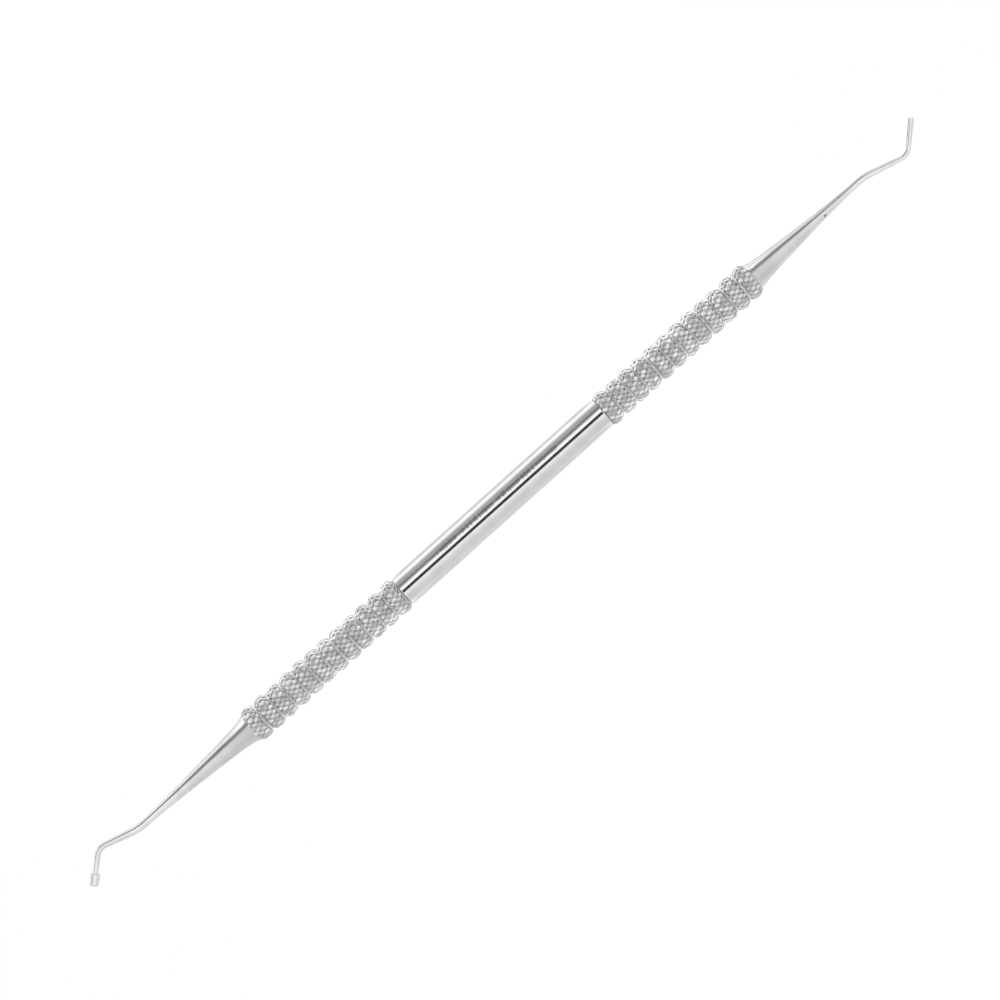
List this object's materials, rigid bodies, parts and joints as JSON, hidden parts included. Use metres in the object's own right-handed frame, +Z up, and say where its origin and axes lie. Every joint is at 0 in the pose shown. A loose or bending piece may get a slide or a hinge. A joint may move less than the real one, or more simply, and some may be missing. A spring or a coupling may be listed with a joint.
{
  "type": "amalgam condenser",
  "caption": "Double-ended hand instrument for packing fillings: a knurled steel handle with a polished middle, tapering to bent wire ends with flat nibs, one large and one small.",
  "frame": {"origin": "on the surface that the instrument lies on, under the middle of its overall length and of its handle's width", "axes": "+X along the handle towards the small nib, +Z up, and both bends of each end lie in the horizontal plane through the handle's axis"},
  "size_m": [0.1718, 0.006, 0.0059],
  "materials": {
    "steel": "polished, with a satin knurl"
  },
  "bodies": {
    "root": {"condenser": "steel"}
  },
  "joints": []
}
